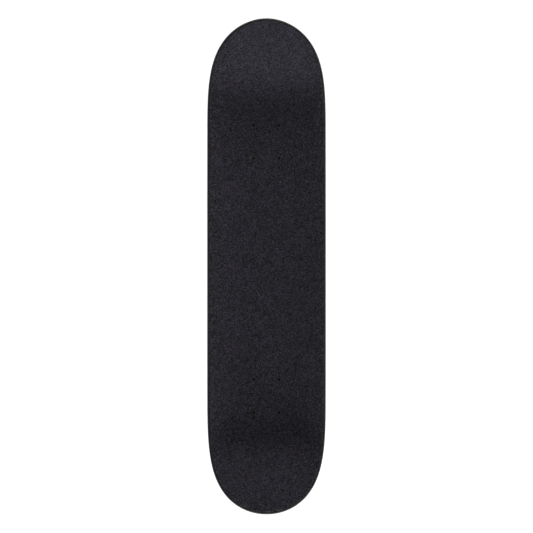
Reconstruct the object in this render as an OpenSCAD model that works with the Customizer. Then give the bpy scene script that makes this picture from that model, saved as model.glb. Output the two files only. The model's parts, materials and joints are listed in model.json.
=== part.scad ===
// Street skateboard: a pressed seven-veneer deck with abrasive tape, two cast trucks and four wheels.
// +Y points to the nose, +X to the right of someone looking at the nose, and +Z up.
// The origin is on the ground, under the middle of the board. All sizes are in millimetres.

/* [Deck] */
// Length of the deck from tip to tip, seen from above
deck_length = 800; // [780:1:830]
// Width of the deck at its middle, seen from above
deck_width = 194; // [190:1:206]
// Thickness of one veneer
veneer_t = 1.5; // [1.4:0.05:1.6]
// Thickness of the abrasive tape
tape_t = 0.8; // [0.6:0.1:1]
// Height of the rails above the flat middle of the deck
concave_h = 10; // [6:1:13]
// Slope of the nose, in degrees
nose_angle = 22; // [18:1:24]
// Slope of the tail, in degrees
tail_angle = 21; // [18:1:24]
// Distance from the outer truck bolts to the tip of the nose
nose_length = 169; // [162:1:178]
// Distance between the inner bolts of the two trucks
wheelbase = 362; // [350:1:370]

/* [Trucks] */
// Height from the underside of the deck to the axle
truck_h = 52; // [51:0.5:54]
// Width of the hanger between its two end faces
hanger_w = 127; // [122:1:130]
// Length of the axle
axle_length = 194; // [190:1:198]
// Lean of the kingpin towards the middle of the board, in degrees
kingpin_lean = 12; // [10:1:14]
// Angle of the pivot stem below the horizontal, in degrees
stem_angle = 45; // [43:1:47]

/* [Wheels] */
// Diameter of a wheel
wheel_d = 52; // [50:1:54]
// Width of a wheel
wheel_w = 32; // [30:1:34]

/* [Hidden] */
$fn = 64;
front = 1;
rear = -1;
right = 1;
left = -1;
gap = 0.05; // between pieces that touch on the real object

// Deck outline. The sides are parallel, and each end is a superellipse.
bolt_dx = 41.3;
bolt_dy = 54;
deck_t = 7 * veneer_t;
deck_z = wheel_d / 2 + truck_h;
tail_length = deck_length - nose_length - wheelbase - 2 * bolt_dy;
edge_round_top = 2.5;
edge_round_bottom = 4.5;
outline_grow = 1.3; // the lean of the edge hides this much of the underside's outline at the tips
half_w = deck_width / 2 + 1;
tip = deck_length / 2 + outline_grow;
nose_start = 200;
nose_p = 3.95;
nose_q = 1.9;
tail_start = 180;
tail_p = 4.3;
tail_q = 2.02;

// Deck height. The kicks bend up smoothly beyond the bolts, and the rails rise by a parabola.
nose_bend_start = deck_length / 2 - nose_length + 8;
nose_bend = 90;
tail_bend_start = deck_length / 2 - tail_length + 8;
tail_bend = 85;
flat_half = 22;
concave_fade = 0.55;
fade_start = 240;
fade_length = 160;

function smooth(t) = let (s = min(1, max(0, t))) s * s * (3 - 2 * s);
function ramp(t) = t < 0 ? 0 : t < 1 ? pow(t, 3) - pow(t, 4) / 2 : t - 0.5;
function kick(y) = tan(nose_angle) * nose_bend * ramp((y - nose_bend_start) / nose_bend)
    + tan(tail_angle) * tail_bend * ramp((-y - tail_bend_start) / tail_bend);
function rails(x) = concave_h * pow(max(0, abs(x) - flat_half) / (half_w - flat_half), 2);
function fade(y) = 1 - concave_fade * smooth((abs(y) - fade_start) / fade_length);
function height(x, y) = kick(y) + rails(x) * fade(y);
function slope_x(x, y) =
    sign(x) * 2 * concave_h * max(0, abs(x) - flat_half) / pow(half_w - flat_half, 2) * fade(y);
function slope_y(x, y) = height(x, y + 0.5) - height(x, y - 0.5);
function up_from(x, y) = let (n = [-slope_x(x, y), -slope_y(x, y), 1]) n / norm(n);
// The point over (x, y) that is h above the deck's underside, measured square to it
function lifted(x, y, h) = [x, y, deck_z + height(x, y)] + h * up_from(x, y);

// Half the width at y of an outline that lies this far inside the deck's
function half_width(y, inset) =
    let (
        start = y > 0 ? nose_start : tail_start,
        p = y > 0 ? nose_p : tail_p,
        q = y > 0 ? nose_q : tail_q,
        t = max(0, abs(y) - start) / (tip - inset - start)
    )
    (half_w - inset) * pow(max(0, 1 - pow(t, p)), 1 / q);
// How far the rounded edge lies inside the outline at height h in the deck
function quarter(r, a) = a < r ? r - sqrt(r * r - (r - a) * (r - a)) : 0;
function edge_inset(h) = quarter(edge_round_bottom, h) + quarter(edge_round_top, deck_t - h);

// The deck is a grid: rows across it, closer together at the tips, and columns along it.
end_rows = 17;
first_end_row = 228;
flat_rows = 4;
side_columns = 4;
blunt = 0.3; // the last row stops this share of a row short of the tip
function end_row(k, inset) = let (s = 1 - k / (end_rows + blunt))
    (tip - inset) - (tip - inset - first_end_row) * s * s;
function rows(inset) = concat(
    [for (k = [end_rows:-1:0]) -end_row(k, inset)],
    [for (k = [1:flat_rows - 1]) first_end_row * (2 * k / flat_rows - 1)],
    [for (k = [0:end_rows]) end_row(k, inset)]
);
function columns() = let (
        middle = flat_half / half_w,
        side = [for (k = [0:side_columns]) middle + (1 - middle) * k / side_columns]
    )
    concat([for (k = [side_columns:-1:0]) -side[k]], side);
function level(h, inset) = [
    for (y = rows(inset)) for (u = columns()) lifted(u * half_width(y, inset), y, h)
];

// A sheet between two levels of the deck: its faces follow the grid.
module sheet(h0, inset0, h1, inset1) {
    nc = len(columns());
    nr = len(rows(0));
    n = nc * nr;
    rim = concat(
        [for (c = [0:nc - 1]) c],
        [for (r = [1:nr - 1]) r * nc + nc - 1],
        [for (c = [nc - 2:-1:0]) (nr - 1) * nc + c],
        [for (r = [nr - 2:-1:1]) r * nc]
    );
    top = [
        for (r = [0:nr - 2]) for (c = [0:nc - 2])
            let (a = n + r * nc + c, b = a + 1, d = a + nc, e = d + 1)
            each [[a, d, e], [a, e, b]]
    ];
    bottom = [
        for (r = [0:nr - 2]) for (c = [0:nc - 2])
            let (a = r * nc + c, b = a + 1, d = a + nc, e = d + 1)
            each [[a, e, d], [a, b, e]]
    ];
    sides = [
        for (k = [0:len(rim) - 1])
            let (a = rim[k], b = rim[(k + 1) % len(rim)])
            each [[a, a + n, b + n], [a, b + n, b]]
    ];
    polyhedron(concat(level(h0, inset0), level(h1, inset1)), concat(top, bottom, sides));
}

// Truck fasteners
bolt_r = 2.4;
bolt_hole_r = 2.65;
bolt_head_r = 4.6;
bolt_head_h = bolt_head_r - bolt_r;
bolt_length = 25.4;
bolt_top = deck_t + tape_t - 0.1;
deck_nut_h = 5.5;
hex_to_radius = 1 / sqrt(3); // corner radius of a hexagon over its width across flats

function truck_y(end) = end == front
    ? deck_length / 2 - nose_length - bolt_dy / 2
    : -(deck_length / 2 - tail_length - bolt_dy / 2);
// Places children in a truck's frame: +Y away from the middle of the board, z = 0 on the deck's underside
module at_truck(end) {
    translate([0, truck_y(end), deck_z]) rotate(end == front ? 0 : 180) children();
}
module at_bolts(end) {
    at_truck(end)
        for (x = [-1, 1], y = [-1, 1])
            translate([x * bolt_dx / 2, y * bolt_dy / 2, 0]) children();
}
module bolt_holes() {
    for (end = [front, rear]) at_bolts(end) {
        translate([0, 0, -5]) cylinder(h = deck_t + 15, r = bolt_hole_r);
        translate([0, 0, bolt_top - bolt_head_h - 0.1])
            cylinder(h = bolt_head_h + 0.1, r1 = bolt_r + 0.1, r2 = bolt_head_r + 0.2);
        translate([0, 0, bolt_top]) cylinder(h = 5, r = bolt_head_r + 0.2);
    }
}

module veneer(number, tint) {
    h0 = (number - 1) * veneer_t;
    h1 = number * veneer_t;
    color(tint) difference() {
        sheet(h0, edge_inset(h0), h1, edge_inset(h1));
        bolt_holes();
    }
}
module grip_tape() {
    color([0.16, 0.16, 0.17]) difference() {
        sheet(deck_t, edge_inset(deck_t), deck_t + tape_t, edge_inset(deck_t) + 0.3);
        bolt_holes();
    }
}
module deck_bolts(end) {
    socket_w = 3.2;
    color([0.12, 0.12, 0.12]) at_bolts(end) difference() {
        union() {
            translate([0, 0, bolt_top - bolt_head_h])
                cylinder(h = bolt_head_h, r1 = bolt_r, r2 = bolt_head_r);
            translate([0, 0, bolt_top - bolt_length]) cylinder(h = bolt_length - 1, r = bolt_r);
        }
        translate([0, 0, bolt_top - 2]) cylinder(h = 5, r = socket_w * hex_to_radius, $fn = 6);
    }
}
module deck_nuts(end) {
    nut_w = 9.5;
    collar_h = 1.4;
    color([0.7, 0.7, 0.7]) at_bolts(end) translate([0, 0, -plate_t - gap]) mirror([0, 0, 1]) difference() {
        union() {
            cylinder(h = deck_nut_h - collar_h, r = nut_w * hex_to_radius, $fn = 6);
            cylinder(h = deck_nut_h, r = nut_w * 0.42);
        }
        translate([0, 0, -1]) cylinder(h = deck_nut_h + 2, r = bolt_r + gap);
    }
}

// Truck layout. The kingpin's stack is measured along the kingpin, from the deck's underside.
plate_l = 80;
plate_w = 57;
plate_t = 5.5;
plate_corner = 9;
kingpin_y = -8;
kingpin_r = 4.76;
kingpin_hex_w = 14.3; // across the flats of its head and its nut
kingpin_head_h = 5;
kingpin_head_top = 2.5;
kingpin_head_bottom = kingpin_head_top + kingpin_head_h;
seat = 14;
cup_washer_t = 1.5;
board_bushing_h = 15;
ring_web = 6;
road_bushing_h = 11;
board_bushing_start = seat + cup_washer_t;
ring_start = board_bushing_start + board_bushing_h;
ring_end = ring_start + ring_web;
road_bushing_end = ring_end + road_bushing_h;
nut_start = road_bushing_end + cup_washer_t;
kingpin_nut_h = 8;
kingpin_end = nut_start + kingpin_nut_h + 1.5;
bushing_r = 11.3;
road_bushing_small_r = 8.3;
recess = 4;
// Pivot: a ball on the hanger's stem turns in a urethane cup.
pivot_y = 25;
pivot_z = -13;
ball_r = 5.2;
stem_r = 4.9;
cup_r = 8.2;
cup_back = 7.3;
boss_front = 6;
axle_y = 5; // offset of the axle from the middle of the bolts, away from the middle of the board
axle_r = 3.96;

// Puts local z along the kingpin, from the deck's underside towards the ground
module along_kingpin() {
    translate([0, kingpin_y, 0]) rotate([180 - kingpin_lean, 0, 0]) children();
}
// Puts local z along the pivot stem, from the ball's centre towards the hanger
module along_stem() {
    translate([0, pivot_y, pivot_z]) rotate([90 + stem_angle, 0, 0]) children();
}
module along_axle() {
    translate([0, axle_y, -truck_h]) rotate([0, 90, 0]) children();
}
module tube(r_out, r_in, z0, z1) {
    translate([0, 0, z0]) difference() {
        cylinder(h = z1 - z0, r = r_out);
        translate([0, 0, -1]) cylinder(h = z1 - z0 + 2, r = r_in);
    }
}
module plate_outline() {
    square([plate_w - 2 * plate_corner, plate_l], center = true);
    square([plate_w, plate_l - 2 * plate_corner], center = true);
    for (x = [-1, 1], y = [-1, 1])
        translate([x * (plate_w / 2 - plate_corner), y * (plate_l / 2 - plate_corner)])
            circle(r = plate_corner);
}

module baseplate(end) {
    seat_wide_r = 18;
    seat_r = 13.5;
    boss_r = 11.2;
    boss_wall = 2; // behind the pivot cup
    rib = [10, 26, 7]; // joins the seat and the pivot boss
    head_pocket_r = 8.7;
    color([0.72, 0.73, 0.75]) at_truck(end) difference() {
        union() {
            translate([0, 0, -plate_t]) linear_extrude(plate_t) plate_outline();
            along_kingpin() cylinder(h = seat, r1 = seat_wide_r, r2 = seat_r);
            along_stem() translate([0, 0, -cup_back - boss_wall])
                cylinder(h = cup_back + boss_wall + boss_front, r = boss_r);
            translate([-rib[0] / 2, -6, -10]) cube(rib);
        }
        // all that stands above the deck's underside
        translate([-plate_l, -plate_l, 0]) cube([2 * plate_l, 2 * plate_l, plate_l]);
        for (x = [-1, 1], y = [-1, 1])
            translate([x * bolt_dx / 2, y * bolt_dy / 2, -20]) cylinder(h = 40, r = bolt_hole_r);
        along_kingpin() {
            translate([0, 0, -10]) cylinder(h = seat + 20, r = kingpin_r + 0.09);
            translate([0, 0, -10]) cylinder(h = kingpin_head_bottom + gap + 10, r = head_pocket_r);
        }
        along_stem() translate([0, 0, -cup_back - gap]) cylinder(h = 40, r = cup_r + gap);
    }
}
module pivot_cup(end) {
    seat_r = ball_r + 0.2;
    rim = boss_front + 1.2;
    mouth_r = 6.1;
    side = 20; // where the ball's seat turns into the cone of the mouth, in degrees
    color([0.1, 0.1, 0.1]) at_truck(end) along_stem() rotate_extrude() polygon(concat(
        [for (a = [-90:11:side]) [seat_r * cos(a), seat_r * sin(a)]],
        [
            [mouth_r, rim], [cup_r + 1.4, rim], [cup_r + 1.4, boss_front + gap],
            [cup_r, boss_front + gap], [cup_r, -cup_back], [0, -cup_back]
        ]
    ));
}
module kingpin(end) {
    color([0.5, 0.5, 0.52]) at_truck(end) along_kingpin() {
        translate([0, 0, kingpin_head_top])
            cylinder(h = kingpin_head_h, r = kingpin_hex_w * hex_to_radius, $fn = 6);
        translate([0, 0, kingpin_head_top + 1])
            cylinder(h = kingpin_end - kingpin_head_top - 2, r = kingpin_r);
        translate([0, 0, kingpin_end - 1]) cylinder(h = 1, r1 = kingpin_r, r2 = kingpin_r - 1);
    }
}
module kingpin_nut(end) {
    collar_h = 1.8;
    color([0.7, 0.7, 0.7]) at_truck(end) along_kingpin() translate([0, 0, nut_start + gap]) difference() {
        union() {
            cylinder(h = kingpin_nut_h - collar_h, r = kingpin_hex_w * hex_to_radius, $fn = 6);
            cylinder(h = kingpin_nut_h, r = 6.6);
        }
        translate([0, 0, -1]) cylinder(h = kingpin_nut_h + 2, r = kingpin_r + gap);
    }
}
// A cup washer whose lip holds the bushing; flat is the side away from the bushing.
module cup_washer(flat, towards, r, lip) {
    color([0.6, 0.6, 0.62]) along_kingpin() translate([0, 0, flat]) scale([1, 1, towards])
        rotate_extrude() polygon([
            [kingpin_r + 0.1, 0], [r + 0.9, 0], [r + 0.9, cup_washer_t + lip],
            [r + 0.2, cup_washer_t + lip], [r + 0.2, cup_washer_t - gap],
            [kingpin_r + 0.1, cup_washer_t - gap]
        ]);
}
module board_washer(end) {
    at_truck(end) cup_washer(seat + gap, 1, bushing_r, 1.5);
}
module road_washer(end) {
    at_truck(end) cup_washer(nut_start, -1, road_bushing_small_r + 0.5, 1);
}
module board_bushing(end) {
    color([0.9, 0.88, 0.8]) at_truck(end) along_kingpin() rotate_extrude() polygon([
        [kingpin_r + 0.2, board_bushing_start + gap], [bushing_r - 0.8, board_bushing_start + gap],
        [bushing_r, board_bushing_start + 1], [bushing_r, ring_start - 1],
        [bushing_r - 0.8, ring_start - gap], [kingpin_r + 0.2, ring_start - gap]
    ]);
}
module road_bushing(end) {
    color([0.9, 0.88, 0.8]) at_truck(end) along_kingpin() rotate_extrude() polygon([
        [kingpin_r + 0.2, ring_end + gap], [bushing_r - 1, ring_end + gap],
        [bushing_r - 0.3, ring_end + 1], [bushing_r - 0.6, ring_end + recess],
        [road_bushing_small_r, road_bushing_end - 0.8],
        [road_bushing_small_r - 0.6, road_bushing_end - gap], [kingpin_r + 0.2, road_bushing_end - gap]
    ]);
}

module hanger(end) {
    arm_r = 10.3;
    end_r = 8.2;
    arm_taper = [29, 57]; // distances from the middle at which the arm starts and stops narrowing
    ring_r = 14.5;
    yoke_r = 8.5; // of the webs where they meet the arm
    stem_root_r = 8.6;
    ridge = [2, -37]; // y and z of the ridge that stiffens the arm
    ridge_r = 6.5;
    kingpin_clearance_r = 7;
    board_seat_r = bushing_r + 0.5;
    road_seat_r = bushing_r + 0.3;
    past_all = 30; // longer than anything it cuts through
    color([0.74, 0.75, 0.77]) at_truck(end) difference() {
        union() {
            along_axle() {
                cylinder(h = 60, r = arm_r, center = true);
                for (m = [0, 1]) mirror([0, 0, m]) {
                    translate([0, 0, arm_taper[0]])
                        cylinder(h = arm_taper[1] - arm_taper[0], r1 = arm_r, r2 = end_r);
                    translate([0, 0, arm_taper[1] - 0.5])
                        cylinder(h = hanger_w / 2 - arm_taper[1] + 0.5, r = end_r);
                }
            }
            along_kingpin() translate([0, 0, ring_start - recess])
                cylinder(h = ring_web + 2 * recess, r = ring_r);
            along_stem() {
                sphere(r = ball_r);
                cylinder(h = 9, r = stem_r);
                translate([0, 0, 8.5]) cylinder(h = 13, r1 = stem_r, r2 = stem_root_r);
            }
            hull() {
                along_kingpin() translate([0, 0, ring_start - 1])
                    cylinder(h = ring_web + 3, r = ring_r - 1.5, $fn = 32);
                along_axle() cylinder(h = 30, r = yoke_r, center = true, $fn = 32);
            }
            hull() {
                along_stem() translate([0, 0, 18]) cylinder(h = 8, r = stem_root_r - 1, $fn = 32);
                along_axle() cylinder(h = 26, r = yoke_r, center = true, $fn = 32);
            }
            hull() {
                along_axle() cylinder(h = 88, r = ridge_r, center = true, $fn = 24);
                translate([0, ridge[0], ridge[1]]) rotate([0, 90, 0])
                    cylinder(h = 24, r = ridge_r, center = true, $fn = 24);
            }
        }
        along_kingpin() {
            translate([0, 0, seat]) cylinder(h = ring_end + past_all - seat, r = kingpin_clearance_r);
            translate([0, 0, seat]) cylinder(h = ring_start - seat, r = board_seat_r);
            translate([0, 0, seat]) cylinder(h = ring_start - recess - seat, r = ring_r - 0.5);
            translate([0, 0, ring_end]) cylinder(h = past_all, r = road_seat_r);
            translate([0, 0, ring_end + recess]) cylinder(h = past_all, r = road_seat_r + 1);
        }
        along_axle() cylinder(h = hanger_w + 2, r = axle_r + 0.04, center = true);
    }
}

// Parts on the axle, measured outwards from the hanger's end face
speed_washer_t = 1;
bearing_w = 7;
spacer_l = 10;
axle_nut_h = 7;
wheel_x = hanger_w / 2 + speed_washer_t + bearing_w + spacer_l / 2;
outer_washer_x = wheel_x + spacer_l / 2 + bearing_w;

module axle(end) {
    color([0.6, 0.6, 0.62]) at_truck(end) along_axle() {
        cylinder(h = axle_length - 2, r = axle_r, center = true);
        for (m = [0, 1]) mirror([0, 0, m])
            translate([0, 0, axle_length / 2 - 1]) cylinder(h = 1, r1 = axle_r, r2 = axle_r - 0.8);
    }
}
module speed_washers(end) {
    color([0.75, 0.75, 0.75]) at_truck(end) along_axle()
        for (m = [0, 1], x = [hanger_w / 2, outer_washer_x]) mirror([0, 0, m])
            tube(6.2, axle_r + 0.1, x + gap, x + speed_washer_t - gap);
}
module axle_nuts(end) {
    nut_w = 12.7;
    collar_h = 1.8;
    x = outer_washer_x + speed_washer_t;
    color([0.7, 0.7, 0.7]) at_truck(end) along_axle() for (m = [0, 1]) mirror([0, 0, m]) difference() {
        union() {
            translate([0, 0, x]) cylinder(h = axle_nut_h - collar_h, r = nut_w * hex_to_radius, $fn = 6);
            translate([0, 0, x]) cylinder(h = axle_nut_h, r = 5.9);
        }
        translate([0, 0, x - 1]) cylinder(h = axle_nut_h + 2, r = axle_r + gap);
    }
}

// Wheels and bearings
bearing_r = 11;
pitch_r = 7.5;
bearing_ball_r = 1.95;
race_groove_r = 2.05;
outer_shoulder_r = 9.3;
inner_shoulder_r = 5.7;
balls = 7;

// Places children at a wheel, with z along the axle and away from the board
module at_wheel(end, side) {
    translate([side * wheel_x, truck_y(end) + end * axle_y, wheel_d / 2])
        rotate([0, side * 90, 0]) children();
}
module at_bearings() {
    for (m = [-1, 1]) translate([0, 0, m * (spacer_l + bearing_w) / 2]) scale([1, 1, m]) children();
}
module wheel(end, side) {
    tread_half = 9.5;
    shoulder = wheel_w / 2 - tread_half;
    side_r = 17.5;
    bearing_end = spacer_l / 2 + bearing_w;
    // One half of the profile, from the bearing seat out to the tread
    half = concat(
        [[8.8, spacer_l / 2], [bearing_r + 0.02, spacer_l / 2], [bearing_r + 0.02, bearing_end]],
        [[12.4, bearing_end + 0.6], [14.5, wheel_w / 2 - 0.6], [15.5, wheel_w / 2]],
        [for (a = [90:-10:0]) [
            side_r + (wheel_d / 2 - side_r) * cos(a),
            tread_half + shoulder * sin(a)
        ]]
    );
    color([0.93, 0.92, 0.88]) at_wheel(end, side) rotate_extrude($fn = 96)
        polygon(concat(half, [for (k = [len(half) - 1:-1:0]) [half[k][0], -half[k][1]]]));
}
module race_groove() {
    rotate_extrude() translate([pitch_r, 0]) circle(r = race_groove_r);
}
module outer_races(end, side) {
    color([0.75, 0.75, 0.77]) at_wheel(end, side) at_bearings() difference() {
        tube(bearing_r, outer_shoulder_r, -bearing_w / 2 + gap, bearing_w / 2);
        race_groove();
    }
}
module inner_races(end, side) {
    color([0.75, 0.75, 0.77]) at_wheel(end, side) at_bearings() difference() {
        tube(inner_shoulder_r, axle_r + 0.04, -bearing_w / 2 + gap, bearing_w / 2);
        race_groove();
    }
}
module bearing_balls(end, side) {
    cage_r = 8.1;
    cage_inner_r = 6.9;
    cage_z = [-1.2, 2.7]; // from the balls' plane, along the axle
    color([0.8, 0.8, 0.82]) at_wheel(end, side) at_bearings() {
        for (k = [0:balls - 1])
            rotate(360 * k / balls) translate([pitch_r, 0, 0]) sphere(r = bearing_ball_r);
        difference() {
            tube(cage_r, cage_inner_r, cage_z[0], cage_z[1]);
            for (k = [0:balls - 1])
                rotate(360 * k / balls) translate([pitch_r, 0, 0]) sphere(r = bearing_ball_r + 0.15);
        }
    }
}
module bearing_shields(end, side) {
    shield_t = 0.3;
    set_in = 0.15; // from the bearing's faces
    color([0.1, 0.1, 0.1]) at_wheel(end, side) at_bearings()
        for (z = [-bearing_w / 2 + set_in, bearing_w / 2 - set_in - shield_t])
            tube(outer_shoulder_r - 0.02, inner_shoulder_r + 0.4, z, z + shield_t);
}
module bearing_spacer(end, side) {
    color([0.7, 0.7, 0.72]) at_wheel(end, side)
        tube(5.1, axle_r + 0.1, -spacer_l / 2 + gap, spacer_l / 2 - gap);
}

black_stain = [0.14, 0.13, 0.13];
brown_stain = [0.2, 0.16, 0.13];

grip_tape();
veneer(7, black_stain);  // top_face_veneer
veneer(6, black_stain);  // upper_core_veneer
veneer(5, brown_stain);  // upper_crossband
veneer(4, black_stain);  // centre_core_veneer
veneer(3, brown_stain);  // lower_crossband
veneer(2, black_stain);  // lower_core_veneer
veneer(1, black_stain);  // bottom_face_veneer
deck_bolts(front);  // front_deck_bolts
deck_bolts(rear);  // rear_deck_bolts
deck_nuts(front);  // front_deck_nuts
deck_nuts(rear);  // rear_deck_nuts
baseplate(front);  // front_baseplate
pivot_cup(front);  // front_pivot_cup
kingpin(front);  // front_kingpin
kingpin_nut(front);  // front_kingpin_nut
board_washer(front);  // front_board_washer
road_washer(front);  // front_road_washer
board_bushing(front);  // front_board_bushing
road_bushing(front);  // front_road_bushing
hanger(front);  // front_hanger
axle(front);  // front_axle
speed_washers(front);  // front_speed_washers
axle_nuts(front);  // front_axle_nuts
baseplate(rear);  // rear_baseplate
pivot_cup(rear);  // rear_pivot_cup
kingpin(rear);  // rear_kingpin
kingpin_nut(rear);  // rear_kingpin_nut
board_washer(rear);  // rear_board_washer
road_washer(rear);  // rear_road_washer
board_bushing(rear);  // rear_board_bushing
road_bushing(rear);  // rear_road_bushing
hanger(rear);  // rear_hanger
axle(rear);  // rear_axle
speed_washers(rear);  // rear_speed_washers
axle_nuts(rear);  // rear_axle_nuts
wheel(front, left);  // front_left_wheel
outer_races(front, left);  // front_left_outer_races
inner_races(front, left);  // front_left_inner_races
bearing_balls(front, left);  // front_left_bearing_balls
bearing_shields(front, left);  // front_left_shields
bearing_spacer(front, left);  // front_left_spacer
wheel(front, right);  // front_right_wheel
outer_races(front, right);  // front_right_outer_races
inner_races(front, right);  // front_right_inner_races
bearing_balls(front, right);  // front_right_bearing_balls
bearing_shields(front, right);  // front_right_shields
bearing_spacer(front, right);  // front_right_spacer
wheel(rear, left);  // rear_left_wheel
outer_races(rear, left);  // rear_left_outer_races
inner_races(rear, left);  // rear_left_inner_races
bearing_balls(rear, left);  // rear_left_bearing_balls
bearing_shields(rear, left);  // rear_left_shields
bearing_spacer(rear, left);  // rear_left_spacer
wheel(rear, right);  // rear_right_wheel
outer_races(rear, right);  // rear_right_outer_races
inner_races(rear, right);  // rear_right_inner_races
bearing_balls(rear, right);  // rear_right_bearing_balls
bearing_shields(rear, right);  // rear_right_shields
bearing_spacer(rear, right);  // rear_right_spacer
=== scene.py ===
"""Looks for the street skateboard. Everything is in metres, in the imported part's frame."""

import json
import math

import bmesh
import bpy
import numpy as np
from mathutils import Matrix, Vector


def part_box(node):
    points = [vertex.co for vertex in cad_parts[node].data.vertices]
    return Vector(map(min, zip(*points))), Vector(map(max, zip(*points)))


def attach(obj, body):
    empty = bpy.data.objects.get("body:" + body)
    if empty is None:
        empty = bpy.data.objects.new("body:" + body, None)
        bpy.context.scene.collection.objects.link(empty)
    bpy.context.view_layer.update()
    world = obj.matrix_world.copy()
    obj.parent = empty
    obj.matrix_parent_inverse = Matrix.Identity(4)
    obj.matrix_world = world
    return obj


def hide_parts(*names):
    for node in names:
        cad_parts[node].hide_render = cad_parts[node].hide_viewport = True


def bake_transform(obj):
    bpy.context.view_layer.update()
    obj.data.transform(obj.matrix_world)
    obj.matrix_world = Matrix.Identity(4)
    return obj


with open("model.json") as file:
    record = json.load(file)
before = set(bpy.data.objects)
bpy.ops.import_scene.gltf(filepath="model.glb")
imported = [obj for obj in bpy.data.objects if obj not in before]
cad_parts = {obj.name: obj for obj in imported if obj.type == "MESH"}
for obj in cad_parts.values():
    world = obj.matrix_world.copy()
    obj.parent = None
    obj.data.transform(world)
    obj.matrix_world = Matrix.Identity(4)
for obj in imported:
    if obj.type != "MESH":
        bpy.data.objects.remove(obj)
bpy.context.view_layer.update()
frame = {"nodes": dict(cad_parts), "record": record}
nodes = frame["nodes"]
body_of = {n: b for b, names in frame["record"]["behaviour"]["bodies"].items() for n in names}
slot_of = {s["node"]: s["material_slot"] for s in frame["record"]["subparts"]}
MM = 0.001
ENDS = {"front": 1, "rear": -1}


# ---------------------------------------------------------------- materials
class Nodes:
    """A material's node tree with a Principled shader and texture helpers."""

    def __init__(self, name, **sockets):
        self.material = bpy.data.materials.new(name)
        self.material.use_nodes = True
        self.tree = self.material.node_tree
        self.shader = self.tree.nodes["Principled BSDF"]
        for key, value in sockets.items():
            self.shader.inputs[key.replace("_", " ")].default_value = value
        self.coord = self.add("ShaderNodeTexCoord").outputs["Object"]

    def add(self, kind, links=(), **settings):
        node = self.tree.nodes.new(kind)
        for key, value in settings.items():
            setattr(node, key, value)
        for socket, source in dict(links).items():
            if isinstance(source, bpy.types.NodeSocket):
                self.tree.links.new(source, node.inputs[socket])
            else:
                node.inputs[socket].default_value = source
        return node

    def stretched(self, scale):
        return self.add("ShaderNodeMapping", {"Vector": self.coord, "Scale": scale}).outputs["Vector"]

    def noise(self, scale, detail=3.0, rough=0.5, vector=None):
        links = {"Vector": vector or self.coord, "Scale": scale, "Detail": detail, "Roughness": rough}
        return self.add("ShaderNodeTexNoise", links).outputs["Fac"]

    def ramp(self, source, stops):
        node = self.add("ShaderNodeValToRGB", {"Fac": source})
        band = node.color_ramp
        while len(band.elements) < len(stops):
            band.elements.new(0.5)
        for element, (at, colour) in zip(band.elements, stops):
            element.position = at
            element.color = (*colour, 1) if hasattr(colour, "__len__") else (colour, colour, colour, 1)
        return node.outputs["Color"]

    def math(self, kind, a, b=0.0):
        node = self.add("ShaderNodeMath", {0: a, 1: b}, operation=kind)
        return node.outputs[0]

    def mix(self, factor, a, b):
        node = self.add("ShaderNodeMix", data_type="RGBA")
        for socket, value in ((0, factor), (6, a), (7, b)):
            if isinstance(value, bpy.types.NodeSocket):
                self.tree.links.new(value, node.inputs[socket])
            else:
                node.inputs[socket].default_value = value if socket == 0 else (*value, 1)
        return node.outputs[2]

    def span(self, source, low, high):
        links = {"Value": source, "From Min": 0.3, "From Max": 0.7, "To Min": low, "To Max": high}
        return self.add("ShaderNodeMapRange", links).outputs["Result"]

    def bump(self, height, strength, distance, normal=None):
        links = {"Height": height, "Strength": strength, "Distance": distance}
        if normal:
            links["Normal"] = normal
        return self.add("ShaderNodeBump", links).outputs["Normal"]

    def to(self, socket, source):
        self.tree.links.new(source, self.shader.inputs[socket])


def shade(colour, factor):
    return tuple(min(1.0, c * factor) for c in colour)


def plain_material(name, colour, rough, metallic=0.0, vary=0.12, rough_vary=0.08, size=4.0, grain=0.35,
                   bump=0.15, depth=0.03, **extra):
    """A material whose colour, gloss and surface vary. size, grain and depth are in millimetres."""
    m = Nodes(name, Metallic=metallic, **extra)
    broad = m.noise(1000 / size, 4)
    fine = m.noise(1000 / grain, 2)
    m.to("Base Color", m.ramp(broad, [(0.3, shade(colour, 1 - vary)), (0.7, shade(colour, 1 + vary))]))
    both = m.math("MULTIPLY", m.math("ADD", broad, fine), 0.5)
    m.to("Roughness", m.span(both, rough - rough_vary, rough + rough_vary))
    m.to("Normal", m.bump(fine, bump, depth * MM))
    return m.material


def grip_material():
    """Black abrasive tape: each grain has its own tone and gloss, and a share of the grains and the
    smallest specks are painted glints, a much lighter base colour standing in for grit that catches the
    light.
    """
    tint = (0.84, 0.80, 1.0)
    m = Nodes("grip_grit", Specular_Tint=(*tint, 1))
    cell = m.add("ShaderNodeTexVoronoi", {"Vector": m.coord, "Scale": 1000 / 1.5})
    small = m.add("ShaderNodeTexVoronoi", {"Vector": m.coord, "Scale": 1000 / 0.6})
    parts = m.add("ShaderNodeSeparateColor", {"Color": cell.outputs["Color"]})
    painted_glint_specks = m.add("ShaderNodeSeparateColor", {"Color": small.outputs["Color"]})
    mottle = m.noise(1000 / 6.0, 3)
    dark = m.ramp(mottle, [(0.3, shade(tint, 0.0055)), (0.7, shade(tint, 0.0105))])
    # Painted glints: grains with a high random value are mixed towards a much lighter colour.
    tone_and_painted_glints = m.mix(m.math("POWER", parts.outputs["Red"], 4.0), dark, shade(tint, 0.125))
    # Painted glints: the rarest small specks get the lightest base colour of all.
    m.to("Base Color", m.mix(m.math("POWER", painted_glint_specks.outputs["Green"], 8.0), tone_and_painted_glints, shade(tint, 0.32)))
    m.to("Roughness", m.ramp(parts.outputs["Blue"], [(0.0, 0.42), (1.0, 0.85)]))
    m.to("Specular IOR Level", m.ramp(parts.outputs["Green"], [(0.0, 0.2), (0.75, 0.85), (1.0, 1.0)]))
    rise = m.math("ADD", small.outputs["Distance"], m.math("MULTIPLY", cell.outputs["Distance"], 0.8))
    m.to("Normal", m.bump(rise, 0.55, 0.35 * MM))
    return m.material


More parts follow.
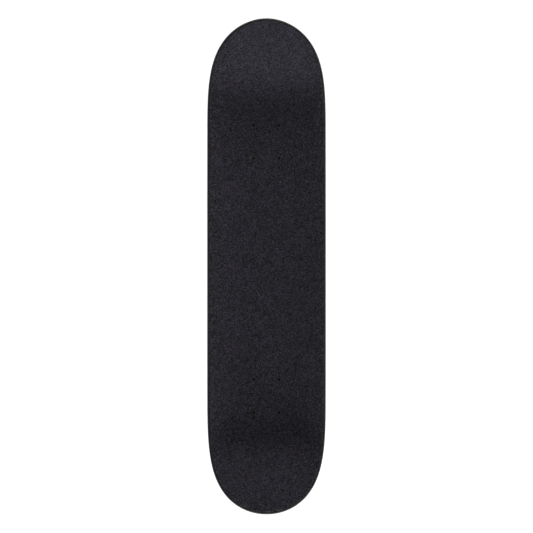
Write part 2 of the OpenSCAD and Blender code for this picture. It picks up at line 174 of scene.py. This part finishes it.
def wood_material(name, colour, along, rough=0.42, vary=0.35):
    """Stained maple: long fine pores and soft figure along "x" or "y". Cut edges are dull, and the face
    that looks down is lacquered."""
    m = Nodes(name, Specular_IOR_Level=0.12, Coat_Roughness=0.2)
    fibre = m.stretched((1, 0.035, 1) if along == "y" else (0.035, 1, 1))
    figure = m.noise(1000 / 9.0, 4, 0.55, fibre)
    pores = m.noise(1000 / 0.7, 3, 0.6, fibre)
    tint = m.ramp(figure, [(0.3, shade(colour, 1 - vary)), (0.7, shade(colour, 1 + vary))])
    m.to("Base Color", m.mix(m.ramp(pores, [(0.55, 0.0), (0.75, 0.6)]), tint, shade(colour, 0.35)))
    m.to("Roughness", m.span(figure, rough + 0.25, rough + 0.45))
    m.to("Normal", m.bump(pores, 0.12, 0.05 * MM))
    facing = m.add("ShaderNodeSeparateXYZ", {"Vector": m.add("ShaderNodeNewGeometry").outputs["Normal"]})
    links = {"Value": facing.outputs["Z"], "From Min": -0.85, "From Max": -0.97, "To Max": 0.4}
    m.to("Coat Weight", m.add("ShaderNodeMapRange", links).outputs["Result"])
    return m.material


def cast_material():
    """Tumbled cast aluminium: a fine skin, soft mottling and small pits."""
    m = Nodes("cast_aluminium", Metallic=1.0)
    broad = m.noise(1000 / 14.0, 4)
    skin = m.noise(1000 / 0.8, 4, 0.6)
    pits = m.add("ShaderNodeTexVoronoi", {"Vector": m.coord, "Scale": 1000 / 1.7})
    pit = m.ramp(pits.outputs["Distance"], [(0.0, 0.0), (0.18, 1.0)])
    skin_colour = m.ramp(broad, [(0.3, (0.56, 0.57, 0.58)), (0.7, (0.68, 0.69, 0.70))])
    m.to("Base Color", m.mix(pit, (0.40, 0.40, 0.41), skin_colour))
    m.to("Roughness", m.span(m.math("MULTIPLY", m.math("ADD", broad, skin), 0.5), 0.33, 0.52))
    m.to("Normal", m.bump(pit, 0.06, 0.05 * MM, m.bump(skin, 0.22, 0.08 * MM)))
    return m.material


def wheel_material():
    """Cast urethane: slightly translucent, with faint turning marks round the axle."""
    m = Nodes("wheel_urethane", Subsurface_Weight=0.12, Subsurface_Radius=(0.004, 0.003, 0.002),
              Subsurface_Scale=1.0, Coat_Weight=0.0)
    broad = m.noise(1000 / 11.0, 4)
    rings = m.noise(1000 / 0.5, 2, 0.5, m.stretched((1, 0.02, 0.02)))
    dust = m.ramp(m.noise(1000 / 2.5, 5, 0.65), [(0.55, 0.0), (0.8, 0.35)])
    clean = m.ramp(broad, [(0.3, (0.70, 0.68, 0.61)), (0.7, (0.77, 0.75, 0.69))])
    m.to("Base Color", m.mix(dust, clean, (0.54, 0.52, 0.46)))
    m.to("Roughness", m.span(broad, 0.34, 0.5))
    m.to("Normal", m.bump(rings, 0.08, 0.04 * MM))
    return m.material


MATS = {
    "abrasive_tape": grip_material(),
    "black_maple": wood_material("black_maple", (0.056, 0.053, 0.053), "y"),
    "crossband_maple": wood_material("crossband_maple", (0.078, 0.064, 0.055), "x"),
    "black_steel": plain_material("black_steel", (0.060, 0.060, 0.063), 0.55, 0.0, grain=0.25, bump=0.1),
    "zinc_steel": plain_material("zinc_steel", (0.60, 0.60, 0.59), 0.28, 1.0, vary=0.1, grain=0.4,
                                 bump=0.08),
    "hardened_steel": plain_material("hardened_steel", (0.40, 0.40, 0.41), 0.33, 1.0, vary=0.15,
                                     grain=0.3, bump=0.08),
    "bearing_steel": plain_material("bearing_steel", (0.68, 0.68, 0.69), 0.16, 1.0, vary=0.06,
                                    rough_vary=0.05, grain=0.5, bump=0.03),
    "cast_aluminium": cast_material(),
    "black_urethane": plain_material("black_urethane", (0.022, 0.022, 0.023), 0.5, vary=0.15),
    "bushing_urethane": plain_material("bushing_urethane", (0.74, 0.70, 0.58), 0.38, vary=0.06, size=7,
                                       Subsurface_Weight=0.15, Subsurface_Radius=(0.004, 0.003, 0.002)),
    "wheel_urethane": wheel_material(),
    "seal_rubber": plain_material("seal_rubber", (0.020, 0.020, 0.022), 0.55, vary=0.15, bump=0.2),
}
NYLON = plain_material("nylon_ring", (0.55, 0.56, 0.55), 0.45, vary=0.06)
# Painted shade: a near-black material for the inside of each bolt's hex socket, standing in for the shade
# in the recess.
SOCKET_PAINTED_SHADE = plain_material("bolt_socket_painted_shade", (0.006, 0.006, 0.006), 0.8, vary=0.3, Specular_IOR_Level=0.1)


# ---------------------------------------------------------------- mesh helpers
def new_piece(name, verts, faces, sharp=35.0, material=None, slots=None):
    mesh = bpy.data.meshes.new(name)
    mesh.from_pydata([tuple(map(float, v)) for v in verts], [], faces)
    mesh.validate()
    mesh.update()
    mesh.polygons.foreach_set("use_smooth", [True] * len(mesh.polygons))
    mesh.set_sharp_from_angle(angle=math.radians(sharp))
    obj = bpy.data.objects.new(name, mesh)
    bpy.context.scene.collection.objects.link(obj)
    if material:
        mesh.materials.append(material)
    return obj


def outward(obj):
    bm = bmesh.new()
    bm.from_mesh(obj.data)
    bmesh.ops.remove_doubles(bm, verts=bm.verts, dist=1e-7)
    bmesh.ops.recalc_face_normals(bm, faces=bm.faces)
    bm.to_mesh(obj.data)
    bm.free()
    return obj


def place(obj, node, body=None):
    """The piece stands for this CAD node and rides with its body."""
    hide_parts(node)
    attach(obj, body or body_of[node])
    return obj


def baked(obj):
    """Applies the modifiers to the mesh."""
    depsgraph = bpy.context.evaluated_depsgraph_get()
    mesh = bpy.data.meshes.new_from_object(obj.evaluated_get(depsgraph))
    obj.modifiers.clear()
    obj.data = mesh
    return obj


def rounded(points, radius, steps=4):
    """A closed profile with its corners rounded. radius is one number or one per corner."""
    out = []
    n = len(points)
    for i, p in enumerate(points):
        r = radius[i] if hasattr(radius, "__len__") else radius
        p = Vector(p)
        a, b = Vector(points[i - 1]) - p, Vector(points[(i + 1) % n]) - p
        if r <= 0 or a.length < 1e-9 or b.length < 1e-9:
            out.append(tuple(p))
            continue
        angle = a.angle(b)
        cut = min(r / math.tan(angle / 2), a.length * 0.45, b.length * 0.45)
        start, end = p + a.normalized() * cut, p + b.normalized() * cut
        for k in range(steps + 1):
            t = k / steps
            out.append(tuple(start.lerp(p, t).lerp(p.lerp(end, t), t)))
    return out


def rings_mesh(rings, closed=True):
    """Quads between rings of equal length; a closed profile joins the last ring to the first."""
    n = len(rings[0])
    verts = [v for ring in rings for v in ring]
    faces = []
    last = len(rings) if closed else len(rings) - 1
    for i in range(last):
        j = (i + 1) % len(rings)
        for k in range(n):
            m = (k + 1) % n
            faces.append((i * n + k, i * n + m, j * n + m, j * n + k))
    return verts, faces


def polar(profile, segments=96):
    """Rings from a profile of (r, z) in millimetres, where each may be a function of the angle."""
    rings = []
    for r, z in profile:
        ring = []
        for k in range(segments):
            a = 2 * math.pi * k / segments
            radius = r(a) if callable(r) else r
            rise = z(a) if callable(z) else z
            ring.append((radius * math.cos(a) * MM, radius * math.sin(a) * MM, rise * MM))
        rings.append(ring)
    return rings


def lathe(name, profile, matrix, material, segments=96, closed=True, sharp=35.0):
    verts, faces = rings_mesh(polar(profile, segments), closed)
    obj = new_piece(name, [matrix @ Vector(v) for v in verts], faces, sharp, material)
    outward(obj)
    obj.data.set_sharp_from_angle(angle=math.radians(sharp))
    return obj


def hexagon(width, limit=0.985):
    """The radius of a hexagon across flats width at an angle, with its corners slightly broken."""
    def radius(a):
        r = width / 2 / math.cos(a % (math.pi / 3) - math.pi / 6)
        return min(r, width / math.sqrt(3) * limit)
    return radius


def hex_profile(width, bore, height, collar_r=None, collar_h=0.0, bore_bottom=0.4):
    """A chamfered hexagon nut from z = 0 up, with a round locking collar on its far end."""
    hexa = hexagon(width)
    flat = width / 2 * 0.98
    body = height - collar_h

    def low(a):
        return max(0.0, hexa(a) - flat) * 0.58

    profile = [(bore, bore_bottom), (bore + bore_bottom, 0), (flat, 0), (hexa, low),
               (hexa, lambda a: body - low(a)), (flat, body)]
    if collar_r:
        profile += [(collar_r + 0.25, body), (collar_r, body + 0.25), (collar_r, height - 0.45),
                    (collar_r - 0.13, height - 0.13), (collar_r - 0.45, height), (bore + 0.9, height),
                    (bore + 0.75, height - 0.12), (bore + 0.1, height - 0.3)]
    else:
        profile += [(bore + 0.4, body)]
    return profile + [(bore, body - 0.5)]


def threaded(r, pitch, z0, z1, depth, chamfer, steps=8):
    """Rings for a thread between z0 and z1 (z1 is the free end)."""
    rows = max(4, int((z1 - z0) / pitch * steps))
    profile = []
    for k in range(rows + 1):
        z = z0 + (z1 - z0) * k / rows
        start = min(1.0, (z - z0) / pitch)
        limit = r - max(0.0, chamfer - (z1 - z)) * 0.9

        def radius(a, z=z, start=start, limit=limit):
            phase = (z / pitch + a / (2 * math.pi)) % 1.0
            return min(limit, r - depth * start * abs(2 * phase - 1))
        profile.append((radius, z))
    return profile


def axes(origin, z_axis, x_axis=(1, 0, 0)):
    """A matrix with local z along z_axis and local x near x_axis."""
    z = Vector(z_axis).normalized()
    x = Vector(x_axis)
    x = (x - z * x.dot(z)).normalized()
    y = z.cross(x)
    m = Matrix((x, y, z)).transposed().to_4x4()
    m.translation = Vector(origin)
    return m


def cast_copy(name, node, voxel, rounds, material):
    """A copy of a CAD casting with its edges and inner corners softened, as a casting's are."""
    bm = bmesh.new()
    bm.from_mesh(nodes[node].data)
    bmesh.ops.remove_doubles(bm, verts=bm.verts, dist=1e-6)
    mesh = bpy.data.meshes.new(name)
    bm.to_mesh(mesh)
    bm.free()
    obj = bpy.data.objects.new(name, mesh)
    bpy.context.scene.collection.objects.link(obj)
    remesh = obj.modifiers.new("remesh", "REMESH")
    remesh.mode = "VOXEL"
    remesh.voxel_size = voxel * MM
    remesh.use_smooth_shade = True
    soft = obj.modifiers.new("soft", "SMOOTH")
    soft.factor = 0.5
    soft.iterations = rounds
    baked(obj)
    obj.data.materials.clear()
    obj.data.materials.append(material)
    obj.data.polygons.foreach_set("use_smooth", [True] * len(obj.data.polygons))
    return obj


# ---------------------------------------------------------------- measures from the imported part
deck_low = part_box("front_baseplate")[1].z / MM
sheet_names = ["bottom_face_veneer", "lower_core_veneer", "lower_crossband", "centre_core_veneer",
               "upper_crossband", "upper_core_veneer", "top_face_veneer"]
truck_y = {e: (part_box(f"{e}_baseplate")[0].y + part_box(f"{e}_baseplate")[1].y) / 2 / MM for e in ENDS}

VENEER, TAPE = 1.5, 0.8
DECK = 7 * VENEER
HALF_W, TIP = 98.0, 401.3
NOSE = dict(start=200, p=3.95, q=1.9, bend_start=239, bend=90, slope=math.tan(math.radians(22)))
TAIL = dict(start=180, p=4.3, q=2.02, bend_start=247, bend=85, slope=math.tan(math.radians(21)))
FLAT, CONCAVE = 22.0, 10.0
FADE, FADE_START, FADE_LENGTH = 0.55, 240, 160
ROUND_TOP, ROUND_BOTTOM = 2.5, 4.5


def ramp(t):
    return np.where(t < 0, 0, np.where(t < 1, t ** 3 - t ** 4 / 2, t - 0.5))


def smooth(t):
    s = np.clip(t, 0, 1)
    return s * s * (3 - 2 * s)


def height(x, y):
    """The rise of the deck's lower face over its flat, in millimetres."""
    kick = (NOSE["slope"] * NOSE["bend"] * ramp((y - NOSE["bend_start"]) / NOSE["bend"])
            + TAIL["slope"] * TAIL["bend"] * ramp((-y - TAIL["bend_start"]) / TAIL["bend"]))
    rails = CONCAVE * (np.maximum(0, np.abs(x) - FLAT) / (HALF_W - FLAT)) ** 2
    return kick + rails * (1 - FADE * smooth((np.abs(y) - FADE_START) / FADE_LENGTH))


def lifted(x, y, h):
    """The point h above the deck's lower face, square to it."""
    d = 0.25
    sx = (height(x + d, y) - height(x - d, y)) / (2 * d)
    sy = (height(x, y + d) - height(x, y - d)) / (2 * d)
    n = np.stack([-sx, -sy, np.ones_like(sx)], -1)
    n /= np.linalg.norm(n, axis=-1, keepdims=True)
    return np.stack([x, y, deck_low + height(x, y)], -1) + h * n


def half_width(y, inset):
    """Half the deck's width at y: straight sides, then a rounded end."""
    start = np.where(y > 0, NOSE["start"], TAIL["start"])
    p = np.where(y > 0, NOSE["p"], TAIL["p"])
    q = np.where(y > 0, NOSE["q"], TAIL["q"])
    t = np.maximum(0, np.abs(y) - start) / (TIP - inset - start)
    return (HALF_W - inset) * np.maximum(0, 1 - t ** p) ** (1 / q)


def edge_inset(h):
    """How far the rounded edge stands in from the outline at height h."""
    def quarter(r, a):
        return r - math.sqrt(r * r - (r - a) ** 2) if a < r else 0.0
    return quarter(ROUND_BOTTOM, h) + quarter(ROUND_TOP, DECK - h)


END_ROWS, MID_ROWS, COLUMNS = 70, 24, 44
FIRST_END_ROW = 226.0
BLUNT = 0.15  # the last row stops this share of a row short of the tip
CROWDING = 0.8  # how strongly the columns crowd towards the rails


def level(h, inset):
    """A grid of points h above the lower face, with rows that crowd towards the tips."""
    s = 1 - np.arange(END_ROWS + 1) / (END_ROWS + BLUNT)
    end = (TIP - inset) - (TIP - inset - FIRST_END_ROW) * s * s
    mid = np.linspace(-FIRST_END_ROW, FIRST_END_ROW, MID_ROWS + 1)[1:-1]
    rows = np.concatenate([-end[::-1], mid, end])
    quarter_turn = math.pi / 2
    columns = np.sin(np.linspace(-1, 1, COLUMNS + 1) * quarter_turn * CROWDING)
    columns = columns / math.sin(quarter_turn * CROWDING)
    y, share = np.meshgrid(rows, columns, indexing="ij")
    return lifted(share * half_width(y, inset), y, h)


def sheet(name, levels, material):
    """A curved sheet: levels are (height, inset) pairs from its lower face to its upper face."""
    grids = [level(h, i) * MM for h, i in levels]
    nr, nc = grids[0].shape[:2]
    rim = ([(0, c) for c in range(nc)] + [(r, nc - 1) for r in range(1, nr)]
           + [(nr - 1, c) for c in range(nc - 2, -1, -1)] + [(r, 0) for r in range(nr - 2, 0, -1)])
    verts = list(grids[0].reshape(-1, 3)) + list(grids[-1].reshape(-1, 3))
    n = nr * nc
    rings = [[r * nc + c for r, c in rim]]
    for g in grids[1:-1]:
        rings.append(list(range(len(verts), len(verts) + len(rim))))
        verts += [g[r, c] for r, c in rim]
    rings.append([n + r * nc + c for r, c in rim])
    faces = []
    for r in range(nr - 1):
        for c in range(nc - 1):
            a = r * nc + c
            faces.append((a, a + nc, a + nc + 1, a + 1))
            faces.append((n + a, n + a + 1, n + a + nc + 1, n + a + nc))
    for low, high in zip(rings, rings[1:]):
        for k in range(len(rim)):
            m = (k + 1) % len(rim)
            faces.append((low[k], low[m], high[m], high[k]))
    return new_piece(name, verts, faces, 30.0, material)


BOLT_DX, BOLT_DY = 41.3, 54.0
BOLT_TOP = DECK + TAPE - 0.1
BOLT_LENGTH = 25.4
BOLT_R, BOLT_HEAD_R, BOLT_HEAD_H = 2.4, 4.6, 2.2
HOLE_R, SINK_R = 2.65, BOLT_HEAD_R + 0.18


def bolt_spots(ends=ENDS):
    """The bolts of the named trucks, as x and y in millimetres."""
    for e in ends:
        for x in (-1, 1):
            for y in (-1, 1):
                yield x * BOLT_DX / 2, truck_y[e] + y * BOLT_DY / 2


def drill(obj):
    """Cuts the bolt holes with their countersinks."""
    verts, faces = [], []
    below, above = -3, DECK + 4
    profile = [(0.0, below), (HOLE_R, below), (HOLE_R, BOLT_TOP - BOLT_HEAD_H - 0.05), (SINK_R, BOLT_TOP),
               (SINK_R, above), (0.0, above)]
    for x, y in bolt_spots():
        v, f = rings_mesh(polar(profile, 40), False)
        base = len(verts)
        verts += [Vector(p) + Vector((x, y, deck_low)) * MM for p in v]
        faces += [tuple(i + base for i in q) for q in f]
    cutter = outward(new_piece("cutter", verts, faces))
    cut = obj.modifiers.new("cut", "BOOLEAN")
    cut.object = cutter
    cut.operation = "DIFFERENCE"
    cut.solver = "EXACT"
    baked(obj)
    bpy.data.objects.remove(cutter)
    obj.data.polygons.foreach_set("use_smooth", [True] * len(obj.data.polygons))
    obj.data.set_sharp_from_angle(angle=math.radians(30))


# ---------------------------------------------------------------- deck
for i, node in enumerate(sheet_names):
    heights = [i * VENEER + VENEER * k / 3 for k in range(4)]
    piece = sheet(f"deck_{node}", [(h, edge_inset(h)) for h in heights], MATS[slot_of[node]])
    drill(piece)
    place(piece, node)
top_inset = edge_inset(DECK)
tape = sheet("deck_tape", [(DECK, top_inset), (DECK + TAPE * 0.7, top_inset + 0.05),
                           (DECK + TAPE, top_inset + 0.3)], MATS["abrasive_tape"])
drill(tape)
place(tape, "grip_tape")


# ---------------------------------------------------------------- deck fasteners
def merged(name, parts, node):
    """One piece from several meshes with the same material slots."""
    bm = bmesh.new()
    for p in parts:
        bm.from_mesh(p.data)
    mesh = bpy.data.meshes.new(name)
    bm.to_mesh(mesh)
    bm.free()
    for m in parts[0].data.materials:
        mesh.materials.append(m)
    obj = bpy.data.objects.new(name, mesh)
    bpy.context.scene.collection.objects.link(obj)
    for p in parts:
        bpy.data.objects.remove(p)
    return place(obj, node)


def nut(name, matrix, width, bore, tall, collar_r, collar_h):
    """A locking nut with a nylon ring in its collar."""
    obj = lathe(name, hex_profile(width, bore, tall, collar_r, collar_h), matrix, MATS["zinc_steel"], 96)
    obj.data.materials.append(NYLON)
    inv = matrix.inverted()
    for poly in obj.data.polygons:
        c = inv @ poly.center
        r = math.hypot(c.x, c.y) / MM
        if c.z / MM > tall - 0.45 and r < bore + 0.85:
            poly.material_index = 1
    return obj


SOCKET_WIDTH, SOCKET_DEPTH = 3.2, 2.1
for e in ENDS:
    heads, locks = [], []
    for x, y in bolt_spots([e]):
        top = Matrix.Translation(Vector((x, y, deck_low + BOLT_TOP)) * MM)
        socket = hexagon(SOCKET_WIDTH, 1.0)
        profile = [(0.0, -SOCKET_DEPTH), (lambda a: socket(a) * 0.95, 0.1 - SOCKET_DEPTH), (socket, -0.25),
                   (lambda a: socket(a) + 0.2, 0.0), (BOLT_HEAD_R - 0.25, 0.0), (BOLT_HEAD_R, -0.2),
                   (BOLT_R, -BOLT_HEAD_H), (BOLT_R, -10.0)]
        profile += [(r, -z) for r, z in threaded(BOLT_R, 0.79, 10.0, BOLT_LENGTH, 0.35, 0.7)]
        profile += [(0.0, -BOLT_LENGTH)]
        head = lathe(f"bolt{len(heads)}", profile, top, MATS["black_steel"], 36, False, 40)
        # A second slot holds the painted shade, and the socket's inner faces get it.
        head.data.materials.append(SOCKET_PAINTED_SHADE)
        for poly in head.data.polygons:
            c = (poly.center - top.translation) / MM
            if math.hypot(c.x, c.y) < SOCKET_WIDTH / 2 + 0.4 and -SOCKET_DEPTH - 0.1 < c.z < -0.08:
                poly.material_index = 1
        heads.append(head)
        under = axes(Vector((x, y, deck_low - 5.5 - 0.05)) * MM, (0, 0, -1))
        locks.append(nut(f"nut{len(locks)}", under, 9.5, 2.45, 5.5, 4.0, 1.4))
    merged(f"{e}_bolts", heads, f"{e}_deck_bolts")
    merged(f"{e}_nuts", locks, f"{e}_deck_nuts")

# ---------------------------------------------------------------- trucks
LEAN = math.radians(12)
SEAT, CUP_T, BOARD_H, RING, ROAD_H = 14.0, 1.5, 15.0, 6.0, 11.0
BOARD_START = SEAT + CUP_T
RING_START = BOARD_START + BOARD_H
RING_END = RING_START + RING
ROAD_END = RING_END + ROAD_H
NUT_START = ROAD_END + CUP_T
KINGPIN_NUT_H = 8
KINGPIN_R, KINGPIN_HEX, KINGPIN_THREAD = 4.76, 14.3, 44.0
KINGPIN_END = NUT_START + KINGPIN_NUT_H + 1.5
HALF_HANGER, HALF_AXLE = 63.5, 97.0
CASTING_VOXEL = 0.5
STEM_ANGLE = math.radians(45)

for e, sign in ENDS.items():
    def local(x, y, z):
        """From the truck's own frame (y away from the board's middle) to the part's frame, in metres."""
        return Vector((sign * x, truck_y[e] + sign * y, deck_low + z)) * MM

    down = Vector((0, -sign * math.sin(LEAN), -math.cos(LEAN)))
    king = axes(local(0, -8, 0), down)

    for part, rounds in (("baseplate", 3), ("hanger", 5)):
        node = f"{e}_{part}"
        place(cast_copy(f"{e}_truck_{part}", node, CASTING_VOXEL, rounds, MATS["cast_aluminium"]), node)

    # Kingpin: a hexagonal head in the baseplate and a thread at the road end
    head = hexagon(KINGPIN_HEX)
    r = KINGPIN_R
    profile = [(0.0, 2.5), (6.7, 2.5), (head, lambda a: 2.5 + max(0.0, head(a) - 6.9) * 0.55), (head, 7.5),
               (r + 0.6, 7.5), (r, 8.2), (r, KINGPIN_THREAD)]
    profile += threaded(r, 1.06, KINGPIN_THREAD, KINGPIN_END, 0.5, 1.3) + [(0.0, KINGPIN_END)]
    pin = lathe(f"{e}_kingpin_bolt", profile, king, MATS["hardened_steel"], 48, False, 40)
    place(pin, f"{e}_kingpin")
    at_nut = axes(king @ Vector((0, 0, (NUT_START + 0.05) * MM)), down)
    locknut = nut(f"{e}_kingpin_locknut", at_nut, KINGPIN_HEX, r + 0.05, KINGPIN_NUT_H, 6.6, 1.8)
    place(locknut, f"{e}_kingpin_nut")

    # Cup washers: pressed dishes with a rolled lip
    def washer(name, node, flat, side, r_in, r_out, lip):
        inner_face = flat + side * (CUP_T - 0.05)
        rim = inner_face + side * lip
        points = [(r_in, flat), (r_out + 0.9, flat), (r_out + 0.9, rim), (r_out + 0.2, rim),
                  (r_out + 0.2, inner_face), (r_in, inner_face)]
        profile = rounded(points, [0.15, 0.9, 0.3, 0.3, 0.3, 0.15])
        place(lathe(name, profile, king, MATS["zinc_steel"], 96), node)

    washer(f"{e}_upper_cup", f"{e}_board_washer", SEAT + 0.05, 1, 4.86, 11.3, 1.5)
    washer(f"{e}_lower_cup", f"{e}_road_washer", NUT_START, -1, 4.86, 8.8, 1.0)

    # Bushings: a barrel on the board side of the hanger and a cone on the road side
    barrel = rounded([(4.96, BOARD_START + 0.05), (10.5, BOARD_START + 0.05), (11.3, BOARD_START + 1.2),
                      (11.3, RING_START - 1.2), (10.5, RING_START - 0.05), (4.96, RING_START - 0.05)],
                     [0.2, 0.5, 1.0, 1.0, 0.5, 0.2], 5)
    cone = rounded([(4.96, RING_END + 0.05), (10.3, RING_END + 0.05), (11.0, RING_END + 1.2),
                    (10.7, RING_END + 4), (8.3, ROAD_END - 0.9), (7.7, ROAD_END - 0.05),
                    (4.96, ROAD_END - 0.05)],
                   [0.2, 0.5, 0.8, 1.5, 0.6, 0.3, 0.2], 5)
    for name, node, profile, deck_end, hanger_end in (
            (f"{e}_barrel_bushing", f"{e}_board_bushing", barrel, BOARD_START, RING_START),
            (f"{e}_cone_bushing", f"{e}_road_bushing", cone, ROAD_END, RING_END)):
        dense = []
        for (r0, z0), (r1, z1) in zip(profile, profile[1:] + profile[:1]):
            n = max(1, int(math.hypot(r1 - r0, z1 - z0) / 1.0))
            dense += [(r0 + (r1 - r0) * k / n, z0 + (z1 - z0) * k / n) for k in range(n)]
        piece = lathe(name, dense, king, MATS["bushing_urethane"], 72)
        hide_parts(node)
        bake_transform(piece)

    # Axle with turned ends, its nuts and washers
    axle_at = local(0, 5, -52)
    line = axes(axle_at, (1, 0, 0), (0, 0, 1))
    profile = [(0.0, -HALF_AXLE)]
    for half in (-1, 1):
        thread = [(r, half * z) for r, z in threaded(3.96, 1.06, 84.0, HALF_AXLE, 0.4, 1.0)]
        profile += thread[::-1] if half < 0 else thread
    profile += [(0.0, HALF_AXLE)]
    place(lathe(f"{e}_truck_axle", profile, line, MATS["hardened_steel"], 48, False, 40), f"{e}_axle")
    nuts = []
    for side in (-1, 1):
        at = axes(axle_at + Vector((side * 89.5 * MM, 0, 0)), (side, 0, 0), (0, 0, 1))
        nuts.append(nut(f"{e}{side}", at, 12.7, 4.01, 7.0, 5.9, 1.8))
    merged(f"{e}_axle_locknuts", nuts, f"{e}_axle_nuts")
    flats = []
    for side in (-1, 1):
        for x in (HALF_HANGER, 88.5):
            ring = rounded([(4.06, x + 0.05), (6.2, x + 0.05), (6.2, x + 0.95), (4.06, x + 0.95)], 0.2, 2)
            at = axes(axle_at, (side, 0, 0), (0, 0, 1))
            flats.append(lathe(f"{e}{side}{x}", ring, at, MATS["zinc_steel"], 64))
    merged(f"{e}_washers", flats, f"{e}_speed_washers")

    # Pivot cup
    stem = axes(local(0, 25, -13), (0, -sign * math.sin(STEM_ANGLE), -math.cos(STEM_ANGLE)))
    seat_r = 5.4
    turns = [math.radians(a) for a in range(-84, 12, 6)]
    cup = [(0.0, -seat_r)] + [(seat_r * math.cos(a), seat_r * math.sin(a)) for a in turns]
    cup += [(6.1, 6.9), (6.4, 7.2), (9.3, 7.2), (9.6, 6.9), (9.6, 6.05), (8.2, 6.05), (8.2, -7.0),
            (7.9, -7.3), (0.0, -7.3)]
    place(lathe(f"{e}_cup", cup, stem, MATS["black_urethane"], 72, False), f"{e}_pivot_cup")

# ---------------------------------------------------------------- wheels
TREAD_HALF, SIDE_R, WHEEL_R, HALF = 9.5, 17.5, 26.0, 16.0
BEARING_MID, SEAL_OFFSET, SEAL_HALF_T, SEAL_DISH = 8.5, 3.2, 0.15, 0.12
for e in ENDS:
    for side, way in (("left", -1), ("right", 1)):
        low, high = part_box(f"{e}_{side}_wheel")
        at = axes((low + high) / 2, (way, 0, 0), (0, 0, 1))
        half = [(8.8, 5.0), (11.02, 5.0), (11.02, 11.9), (11.3, 12.2), (12.3, 12.5), (12.9, 13.0),
                (14.2, 15.2), (14.8, 15.85), (15.5, 16.0), (16.4, 16.0)]
        half += [(SIDE_R + (WHEEL_R - SIDE_R) * math.cos(math.radians(a)),
                  TREAD_HALF + (HALF - TREAD_HALF) * math.sin(math.radians(a))) for a in range(90, -1, -6)]
        half += [(WHEEL_R, TREAD_HALF * k / 6) for k in range(5, 0, -1)]
        profile = half + [(r, -z) for r, z in half[::-1]]
        wheel = lathe(f"{e}_{side}_tyre", profile, at, MATS["wheel_urethane"], 144)
        place(wheel, f"{e}_{side}_wheel")
        # Bearing seals: thin dished rings, pressed in on both faces of each bearing
        seals = []
        for b in (-1, 1):
            for face in (-1, 1):
                mid = b * (BEARING_MID + face * SEAL_OFFSET)
                low_z, high_z, dish = mid - SEAL_HALF_T, mid + SEAL_HALF_T, -face * b * SEAL_DISH
                ring = [(6.1, low_z), (6.5, low_z), (7.0, low_z + dish), (8.4, low_z + dish), (8.8, low_z),
                        (9.28, low_z), (9.28, high_z), (8.8, high_z), (8.4, high_z + dish),
                        (7.0, high_z + dish), (6.5, high_z), (6.1, high_z)]
                seals.append(lathe(f"{e}{side}{b}{face}", ring, at, MATS["seal_rubber"], 72))
        merged(f"{e}_{side}_seals", seals, f"{e}_{side}_shields")

# ---------------------------------------------------------------- finishes of the CAD pieces that stay
for name, obj in nodes.items():
    if not obj.hide_render:
        for s in obj.material_slots:
            s.material = MATS[slot_of[name]]

# ---------------------------------------------------------------- floor, light and camera
scene = bpy.context.scene
scene.view_settings.view_transform = "Standard"
floor_mat = Nodes("floor", Roughness=0.9, Specular_IOR_Level=0.1)
soft = floor_mat.noise(1.5, 2)
floor_mat.to("Base Color", floor_mat.ramp(soft, [(0.3, (0.80, 0.80, 0.80)), (0.7, (0.82, 0.82, 0.82))]))
floor_mat.shader.inputs["Emission Color"].default_value = (1, 1, 1, 1)
floor_mat.shader.inputs["Emission Strength"].default_value = 0.86
FLOOR_HALF = 40.0
corners = [(x * FLOOR_HALF, y * FLOOR_HALF, 0) for x, y in ((-1, -1), (1, -1), (1, 1), (-1, 1))]
floor = new_piece("floor", corners, [(0, 1, 2, 3)], 30, floor_mat.material)

BOARD_MIDDLE = Vector((0, 0, 0.09))

# The world is only seen past the floor's far edge, and lights nothing
world = bpy.data.worlds.new("studio")
scene.world = world
world.use_nodes = True
world.node_tree.nodes["Background"].inputs["Color"].default_value = (1.0, 1.0, 1.0, 1)
world.node_tree.nodes["Background"].inputs["Strength"].default_value = 0.9
world.cycles_visibility.diffuse = False
world.cycles_visibility.glossy = False
world.cycles_visibility.transmission = False


def softbox(name, at, size, watts):
    """A soft rectangular light that faces the middle of the board."""
    data = bpy.data.lights.new(name, "AREA")
    data.shape = "RECTANGLE"
    data.size, data.size_y = size
    data.energy = watts
    obj = bpy.data.objects.new(name, data)
    scene.collection.objects.link(obj)
    obj.location = at
    obj.rotation_euler = (BOARD_MIDDLE - Vector(at)).to_track_quat("-Z", "Y").to_euler()


softbox("tail_end", (0.0, -2.6, 0.6), (1.4, 0.6), 49)
softbox("nose_end", (0.0, 2.6, 0.6), (1.4, 0.6), 8)
softbox("nose_right", (1.6, 2.1, 0.6), (1.0, 0.6), 13)
softbox("right_side", (2.4, -0.2, 0.5), (1.6, 0.4), 11)
softbox("left_side", (-2.4, -0.2, 0.5), (1.6, 0.4), 7)
softbox("nose_low", (0.0, 1.6, 0.45), (0.8, 0.4), 6)

camera = bpy.data.objects.new("camera", bpy.data.cameras.new("camera"))
scene.collection.objects.link(camera)
scene.camera = camera
DISTANCE = 2.5
VIEW_WIDTH = 0.872  # what the camera takes in at the tape's height
top_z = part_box("grip_tape")[0].z + TAPE * MM
camera.data.sensor_width = 36.0
camera.data.lens = camera.data.sensor_width * DISTANCE / VIEW_WIDTH
camera.location = (0.0, 0.0, top_z + DISTANCE)
camera.rotation_euler = (0, 0, 0)
camera.data.clip_end = 100
